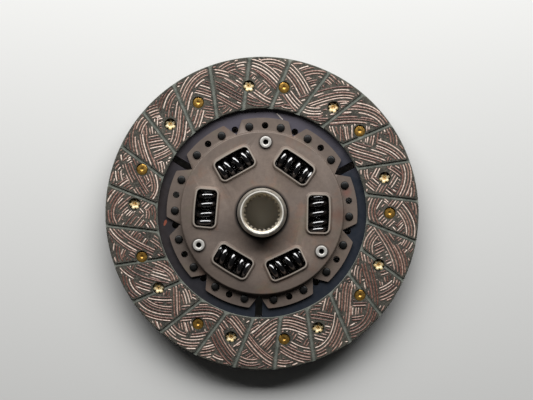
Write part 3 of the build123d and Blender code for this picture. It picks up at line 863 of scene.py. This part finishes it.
print("stage: facing yarn")
facingYarn = {
    "bore": 75.2 * mm,  # radius of the facing's bore
    "seeds": (11, 23),  # front, rear
    "pitch": 2.05 * mm,  # between strands side by side
    "astray": 0.06,  # of the pitch, a strand beside its place
    "waver": 0.12 * mm,  # of a strand to either side
    "waverLength": 5.0 * mm,
    "width": 1.12 * mm,
    "widths": (0.82, 1.1),  # shares of the width, least and most
    "proud": 0.42 * mm,  # height of the crown
    "heights": (0.65, 1.1),  # shares of it
    "sunk": 0.12 * mm,  # depth of the root
    "edgeDrop": 0.02 * mm,  # of the edges and the root under the face
    "section": ((-1.0, 0.0), (-0.62, 0.76), (0.0, 1.0), (0.62, 0.76), (1.0, 0.0), (0.0, -1.0)),
    "shade": (0.2, 0.8, 1.0, 0.8, 0.2, 0.1),  # round the section: pale crown, darker flanks and root, partly reddish yarn and partly painted shade
    "tones": (0.15, 1.0),  # of a strand, darkest and palest
    "toneNoise": 0.06,
    "endFullness": 0.25,  # of the section, where a strand starts and stops
    "step": 0.95 * mm,  # between the points along the longest strands
    "slant": 1.3,  # length of a path over that of its arc, about
    "waves": 6,  # from rim to bore and back, in a turn
    "swing": 0.93,  # of half the facing's breadth
    "swings": (0.82, 1.0),  # shares of the swing, least and most
    "bundles": 170,
    "advance": 0.618034,  # turns from a bundle to the next
    "advanceNoise": 0.01,
    "span": (0.4, 0.75),  # length of a bundle, in waves
    "strands": (3, 6),  # in a bundle
    "ragged": 0.35 * mm,  # of a strand's cut, where a later bundle covers it
    "rimMargin": 1.2 * mm,
    "boreMargin": 1.1 * mm,
    "margin": 0.45 * mm,  # beside a groove or a rivet's recess
    "grooves": 24,
    "grooveAngle": 6.8 * degree,
    "grooveLean": 13.7 * degree,
    "grooveWidth": 2.2 * mm,
    "rivetRecess": 4.3 * mm,
    "patches": (3.1 * mm, 2.7 * mm),  # of resin left over the yarn, p and q
    "patchPhase": 2.0,
    "patchNoise": 0.3,
    "patchBelow": -1.05,
}


def yarnPaths(rng):
    # The yarn is wound on as bundles of side-by-side strands. The middle of a bundle swings between rim
    # and bore: r = m + s sin(k a + f), with a counted from the bundle's own middle. A strand lies at a
    # fixed step along the curve's own normal, and shows where no bundle wound later passes over it.
    # Arrays are bundles x strands x points.
    wound = facingYarn
    rim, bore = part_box("front_facing")[1].x, wound["bore"]
    mid = (rim + bore) / 2
    count, waves = wound["bundles"], wound["waves"]
    spread = np.arange(count) * wound["advance"] + rng.uniform(0, wound["advanceNoise"], count)
    middle = spread % 1.0 * 2 * np.pi
    phase = rng.uniform(0, 2 * np.pi, count)
    span = rng.uniform(*wound["span"], count) * 2 * np.pi / waves
    strandCount = rng.integers(wound["strands"][0], wound["strands"][1] + 1, count)
    swing = (rim - bore) / 2 * wound["swing"] * rng.uniform(*wound["swings"], count)

    row = np.arange(wound["strands"][1])
    eachStrand = (count, len(row), 1)
    longest = span.max() * mid * wound["slant"]
    steps = np.linspace(-0.5, 0.5, int(longest / wound["step"]))
    a = span[:, None, None] * steps
    f, s = phase[:, None, None], swing[:, None, None]
    r = mid + s * np.sin(waves * a + f)
    slope = s * waves * np.cos(waves * a + f) / r
    long = np.sqrt(1 + slope**2)
    side = (row[None] - (strandCount[:, None] - 1) / 2)[:, :, None] * wound["pitch"]
    side = side + rng.normal(0, wound["astray"], eachStrand) * wound["pitch"]
    wave = np.sin(a * mid / wound["waverLength"] + rng.uniform(0, 2 * np.pi, eachStrand))
    side = side + wound["waver"] * wave
    angle = middle[:, None, None] + a - slope / long * side / r
    r = r + side / long

    seen = np.broadcast_to((row[None] < strandCount[:, None])[:, :, None], r.shape).copy()
    halfWidth = strandCount * wound["pitch"] / 2
    ragged = rng.normal(0, 1, eachStrand) * wound["ragged"]
    for later in range(1, count):
        off = (angle[:later] - middle[later] + np.pi) % (2 * np.pi) - np.pi
        over = mid + swing[later] * np.sin(waves * off + phase[later])
        lean = swing[later] * waves * np.cos(waves * off + phase[later]) / over
        gap = np.abs(r[:later] - over) / np.sqrt(1 + lean**2)
        past = np.abs(off) > span[later] / 2
        seen[:later] &= past | (gap > halfWidth[later] + ragged[:later])
    return angle, r, seen


def onGroundFace(angle, r, rng):
    # true inside the rims and clear of the grooves and the rivets' recesses, but for patches of resin that
    # the grinding left over a strand, where sin(x / p) sin(y / q) and the strand's own draw are low
    wound = facingYarn
    rim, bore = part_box("front_facing")[1].x, wound["bore"]
    x, y = r * np.cos(angle), r * np.sin(angle)
    clear = (r > bore + wound["boreMargin"]) & (r < rim - wound["rimMargin"])
    between = 2 * np.pi / wound["grooves"]
    nearest = np.round((angle - wound["grooveAngle"]) / between) * between + wound["grooveAngle"]
    lean = wound["grooveLean"]
    for groove in (nearest - between, nearest, nearest + between):
        outward = x * np.cos(groove) + y * np.sin(groove) - (rim + bore) / 2
        sideways = y * np.cos(groove) - x * np.sin(groove)
        fromGroove = np.abs(sideways * np.cos(lean) + outward * np.sin(lean))
        clear &= fromGroove > wound["grooveWidth"] / 2 + wound["margin"]
    between = 2 * np.pi / facingRivet["count"]
    for first in facingRivet["angles"]:
        nearest = np.round((angle - first * degree) / between) * between + first * degree
        rivetX = facingRivet["circle"] * np.cos(nearest)
        rivetY = facingRivet["circle"] * np.sin(nearest)
        clear &= np.hypot(x - rivetX, y - rivetY) > wound["rivetRecess"] + wound["margin"]
    patchX, patchY = wound["patches"]
    worn = np.sin(x / patchX + wound["patchPhase"]) * np.sin(y / patchY)
    worn = worn + rng.normal(0, wound["patchNoise"], r.shape[:2] + (1,))
    return clear & (worn > wound["patchBelow"])


def yarnShape(seed):
    # a low-domed section of six points, from left edge over crown to right edge and root, is carried along
    # every run of three points or more that shows
    wound = facingYarn
    face = topOf("front_facing")
    rng = np.random.default_rng(seed)
    angle, r, seen = yarnPaths(rng)
    seen = seen & onGroundFace(angle, r, rng)
    ahead = seen & np.roll(seen, -1, 2)  # the strand goes on from this point to the next
    ahead[..., -1] = False
    ahead &= np.roll(ahead, 1, 2) | np.roll(ahead, -1, 2)
    behind = np.roll(ahead, 1, 2)

    x, y = r * np.cos(angle), r * np.sin(angle)
    alongX, alongY = np.gradient(x, axis=2), np.gradient(y, axis=2)
    length = np.hypot(alongX, alongY)
    eachStrand = r.shape[:2] + (1,)
    fullness = wound["endFullness"] + (1 - wound["endFullness"]) * (ahead & behind)
    halfWidth = wound["width"] * rng.uniform(*wound["widths"], eachStrand) * fullness / 2
    lift = fullness * wound["proud"] * rng.uniform(*wound["heights"], eachStrand)
    section = []
    for across, height in wound["section"]:
        aside = across * halfWidth / length
        z = lift * height if height > 0 else wound["sunk"] * height - wound["edgeDrop"] + 0 * lift
        section.append(np.stack([x - alongY * aside, y + alongX * aside, face + z], -1))
    points = np.stack(section, 3).reshape(-1, 3)

    sides = len(section)
    k = np.arange(sides)
    start = np.flatnonzero(ahead)[:, None] * sides
    first, second = start + k, start + (k + 1) % sides
    quads = np.stack([first, second, second + sides, first + sides], -1).reshape(-1, 4)
    # a strand's two ends are closed by two quads over its six corners
    for ends in (ahead & ~behind, behind & ~ahead):
        corner = np.flatnonzero(ends)[:, None] * sides
        caps = [corner + np.array([0, 1, 2, 3]), corner + np.array([0, 3, 4, 5])]
        quads = np.concatenate([quads, *caps])
    used, quads = np.unique(quads, return_inverse=True)
    tone = rng.uniform(*wound["tones"], eachStrand) + rng.normal(0, wound["toneNoise"], r.shape)
    # partly painted shade: the tone falls from the crown to the flanks and the root
    tones = (np.clip(tone, 0, 1).reshape(-1, 1) * np.array(wound["shade"])).ravel()
    return points[used], quads.reshape(-1, 4), tones[used]


def makeFacingYarn():
    for side, seed in zip(("front", "rear"), facingYarn["seeds"]):
        points, quads, tones = yarnShape(seed)
        if side == "rear":
            points = turned(turnedOver(points), facingRivet["angles"][1] * degree)
        name, shape = f"{side}_yarn", (points, quads)
        obj = piece(name, shape, yarn, "disc", sharpAbove=60, tones=tones)
        print("  " + name, len(obj.data.polygons), "faces")


makeFacingYarn()
